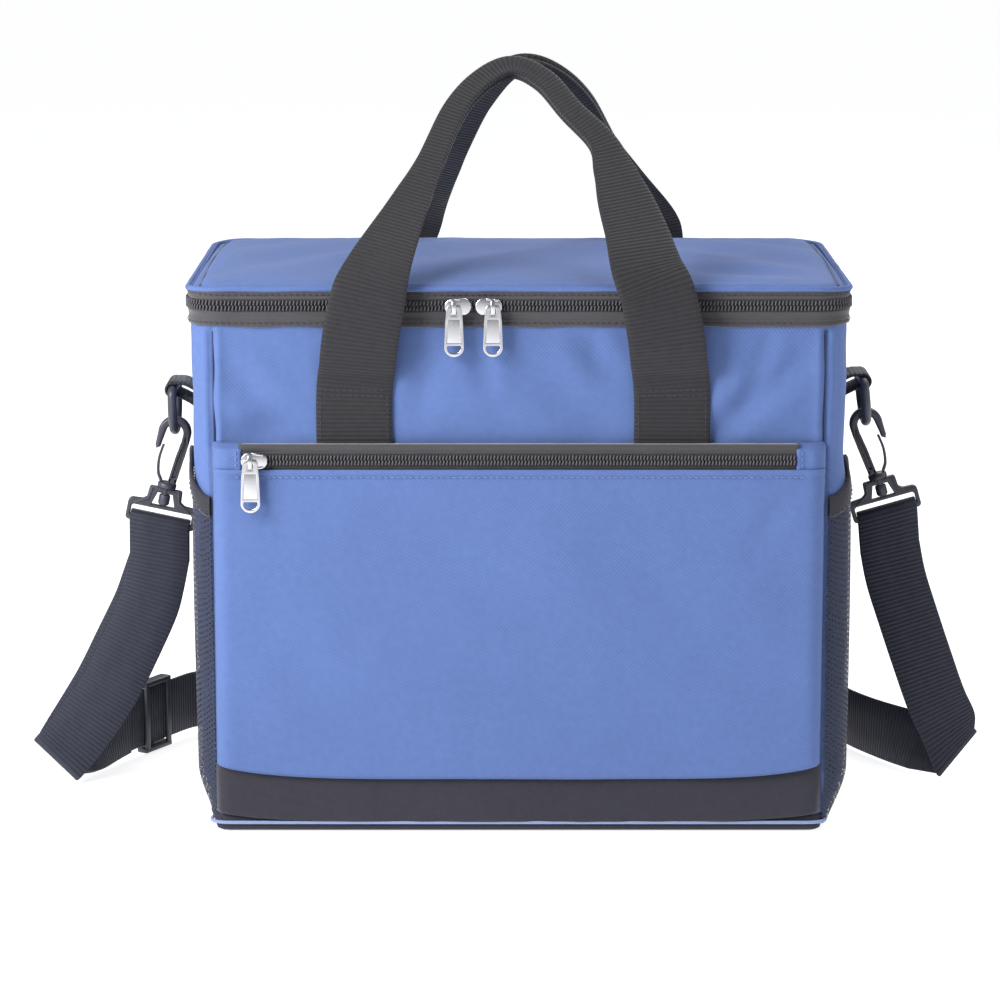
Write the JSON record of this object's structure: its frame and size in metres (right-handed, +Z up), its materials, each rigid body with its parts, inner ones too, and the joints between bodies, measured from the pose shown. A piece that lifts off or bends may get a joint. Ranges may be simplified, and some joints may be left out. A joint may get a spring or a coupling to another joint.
{
  "type": "insulated cooler bag",
  "caption": "Soft insulated cooler bag with a zipped lid, webbing carry handles, a zipped front pocket, mesh side pockets and a clip-on shoulder strap.",
  "frame": {"origin": "centre of the base, on the surface that the bag stands on", "axes": "+Z up, +Y from the front pocket to the back, +X to the right seen from the front"},
  "size_m": [0.5059, 0.2312, 0.3881],
  "materials": {
    "blue_twill": "matte twill with a coated back",
    "pale_piping": "matte",
    "black_twill": "matte twill",
    "black_mesh": "open knit mesh",
    "black_webbing": "ribbed webbing, slight sheen",
    "zip_tape": "woven tape",
    "zip_teeth": "moulded nylon",
    "nickel": "bright nickel plating",
    "black_plastic": "moulded, satin",
    "foam": "closed-cell foam",
    "foil_liner": "heat-sealed metallised film"
  },
  "bodies": {
    "bag": {"front_panel": "blue_twill", "back_panel": "blue_twill", "left_side_panel": "blue_twill", "right_side_panel": "blue_twill", "base_panel": "black_twill", "base_piping": "pale_piping", "front_foam": "foam", "back_foam": "foam", "left_foam": "foam", "right_foam": "foam", "base_foam": "foam", "liner": "foil_liner", "front_pocket": "blue_twill", "lower_front_band": "black_twill", "pocket_zip_lower_tape": "zip_tape", "pocket_zip_upper_tape": "zip_tape", "pocket_zip_lower_teeth": "zip_teeth", "pocket_zip_upper_teeth": "zip_teeth", "left_pocket_end_tab": "blue_twill", "right_pocket_end_tab": "blue_twill", "left_mesh_pocket": "black_mesh", "right_mesh_pocket": "black_mesh", "left_pocket_binding": "black_twill", "right_pocket_binding": "black_twill", "body_zip_tape": "zip_tape", "body_zip_teeth": "zip_teeth", "front_handle_left_anchor": "black_webbing", "front_handle_right_anchor": "black_webbing", "back_handle_left_anchor": "black_webbing", "back_handle_right_anchor": "black_webbing", "left_tab": "black_webbing", "right_tab": "black_webbing", "shoulder_strap": "black_webbing", "strap_return": "black_webbing"},
    "lid": {"lid_cover": "blue_twill", "lid_piping": "blue_twill", "lid_foam": "foam", "lid_lining": "foil_liner", "lid_zip_tape": "zip_tape", "lid_zip_teeth": "zip_teeth"},
    "front_carry_handle": {"front_handle": "black_webbing"},
    "back_carry_handle": {"back_handle": "black_webbing"},
    "left_slider": {"main_slider_left": "nickel"},
    "left_pull": {"main_puller_left": "nickel"},
    "right_slider": {"main_slider_right": "nickel"},
    "right_pull": {"main_puller_right": "nickel"},
    "pocket_zip_slider": {"pocket_slider": "nickel"},
    "pocket_pull": {"pocket_puller": "nickel"},
    "left_d_ring": {"left_ring": "black_plastic"},
    "right_d_ring": {"right_ring": "black_plastic"},
    "left_strap_end": {"left_buckle": "black_plastic"},
    "right_strap_end": {"right_buckle": "black_plastic"},
    "left_snap_hook": {"left_hook": "black_plastic"},
    "right_snap_hook": {"right_hook": "black_plastic"},
    "left_snap_gate": {"left_gate": "black_plastic"},
    "right_snap_gate": {"right_gate": "black_plastic"},
    "strap_slide": {"strap_adjuster": "black_plastic"}
  },
  "joints": [
    {"name": "lid_open", "type": "hinge", "parent": "bag", "child": "lid", "pos_m": [0, 0.101, 0.2714], "axis": [-1, 0, 0], "range_deg": [0, 110]},
    {"name": "front_handle_swing", "type": "hinge", "parent": "bag", "child": "front_carry_handle", "pos_m": [0, -0.1083, 0.2415], "axis": [1, 0, 0], "range_deg": [0, 165]},
    {"name": "back_handle_swing", "type": "hinge", "parent": "bag", "child": "back_carry_handle", "pos_m": [0, 0.1083, 0.2415], "axis": [-1, 0, 0], "range_deg": [0, 165]},
    {"name": "left_zip_slide", "type": "slide", "parent": "bag", "child": "left_slider", "axis": [1, 0, 0], "range_m": [-0.11, 0]},
    {"name": "left_pull_flip", "type": "hinge", "parent": "left_slider", "child": "left_pull", "pos_m": [-0.0305, -0.1075, 0.2714], "axis": [-1, 0, 0], "range_deg": [0, 150]},
    {"name": "right_zip_slide", "type": "slide", "parent": "bag", "child": "right_slider", "axis": [1, 0, 0], "range_m": [0, 0.155]},
    {"name": "right_pull_flip", "type": "hinge", "parent": "right_slider", "child": "right_pull", "pos_m": [-0.015, -0.1075, 0.2714], "axis": [-1, 0, 0], "range_deg": [0, 150]},
    {"name": "pocket_zip_slide", "type": "slide", "parent": "bag", "child": "pocket_zip_slider", "axis": [1, 0, 0], "range_m": [0, 0.255]},
    {"name": "pocket_pull_flip", "type": "hinge", "parent": "pocket_zip_slider", "child": "pocket_pull", "pos_m": [-0.132, -0.1133, 0.1945], "axis": [-1, 0, 0], "range_deg": [0, 150]},
    {"name": "left_strap_swing", "type": "hinge", "parent": "bag", "child": "left_strap_end", "pos_m": [-0.181, 0, 0.2136], "axis": [0, 1, 0], "range_deg": [0, 45], "deforming": ["shoulder_strap", "strap_return"]},
    {"name": "left_ring_swing", "type": "hinge", "parent": "bag", "child": "left_d_ring", "pos_m": [-0.181, 0, 0.2136], "axis": [0, 1, 0], "range_deg": [0, 45]},
    {"name": "left_hook_swivel", "type": "hinge", "parent": "left_strap_end", "child": "left_snap_hook", "pos_m": [-0.18578, 0, 0.16177], "axis": [0.2079, 0, 0.9781], "range_deg": [-12, 12]},
    {"name": "left_gate_press", "type": "hinge", "parent": "left_snap_hook", "child": "left_snap_gate", "pos_m": [-0.1892, 0, 0.16249], "axis": [0, 1, 0], "range_deg": [0, 15], "stiffness_Nm_per_rad": 0.02},
    {"name": "right_strap_swing", "type": "hinge", "parent": "bag", "child": "right_strap_end", "pos_m": [0.181, 0, 0.2181], "axis": [0, -1, 0], "range_deg": [0, 45], "deforming": ["shoulder_strap"]},
    {"name": "right_ring_swing", "type": "hinge", "parent": "bag", "child": "right_d_ring", "pos_m": [0.181, 0, 0.2181], "axis": [0, -1, 0], "range_deg": [0, 45]},
    {"name": "right_hook_swivel", "type": "hinge", "parent": "right_strap_end", "child": "right_snap_hook", "pos_m": [0.19019, 0, 0.1668], "axis": [-0.2756, 0, 0.9613], "range_deg": [-12, 12]},
    {"name": "right_gate_press", "type": "hinge", "parent": "right_snap_hook", "child": "right_snap_gate", "pos_m": [0.19355, 0, 0.16776], "axis": [0, -1, 0], "range_deg": [0, 15], "stiffness_Nm_per_rad": 0.02},
    {"name": "strap_length", "type": "slide", "parent": "bag", "child": "strap_slide", "axis": [0.507, 0.8619, 0], "range_m": [-0.008, 0.02], "deforming": ["shoulder_strap", "strap_return"]}
  ],
  "couplings": [
    {"joint": "front_handle_swing", "follows": "lid_open", "ratio": 1.5},
    {"joint": "back_handle_swing", "follows": "lid_open", "ratio": 1.5},
    {"joint": "left_ring_swing", "follows": "left_strap_swing", "ratio": 1},
    {"joint": "right_ring_swing", "follows": "right_strap_swing", "ratio": 1}
  ]
}
